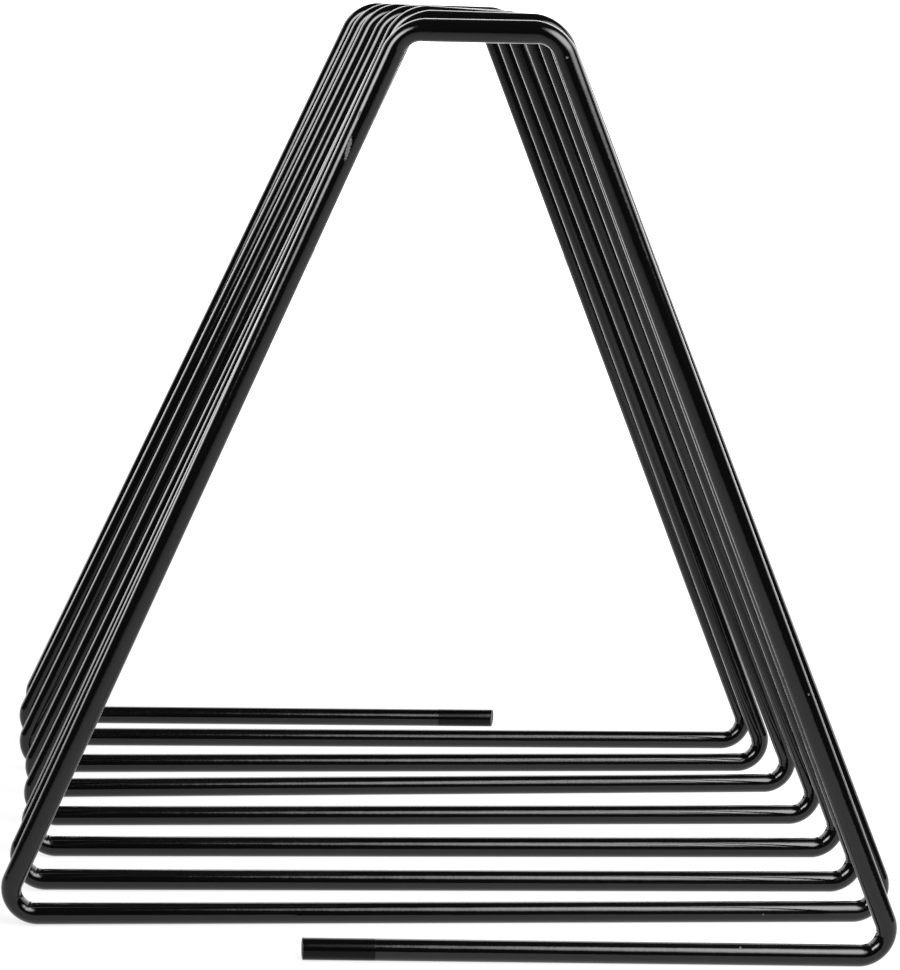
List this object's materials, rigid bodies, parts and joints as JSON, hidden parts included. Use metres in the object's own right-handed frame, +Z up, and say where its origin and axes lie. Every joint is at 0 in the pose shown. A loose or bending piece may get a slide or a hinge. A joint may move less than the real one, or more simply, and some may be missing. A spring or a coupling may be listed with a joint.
{
  "type": "coil magazine rack",
  "caption": "Free-standing rack: a round black steel rod bent into a coil of flat-topped upright triangles with slots between them for magazines, files or records.",
  "frame": {"origin": "centre of the footprint, on the surface the rack stands on", "axes": "+Z up, +X right along the floor bars, +Y from the front free end to the back free end, along the coil"},
  "size_m": [0.2578, 0.2324, 0.2535],
  "materials": {
    "rod_paint": "smooth gloss black powder coat on mild steel rod",
    "cap_plastic": "satin black moulded plastic, duller than the rod"
  },
  "bodies": {
    "root": {"rod_turn_1": "rod_paint", "rod_turn_2": "rod_paint", "rod_turn_3": "rod_paint", "rod_turn_4": "rod_paint", "rod_turn_5": "rod_paint", "rod_turn_6": "rod_paint", "rod_turn_7": "rod_paint", "rod_turn_8": "rod_paint", "front_end_cap": "cap_plastic", "rear_end_cap": "cap_plastic"}
  },
  "joints": []
}
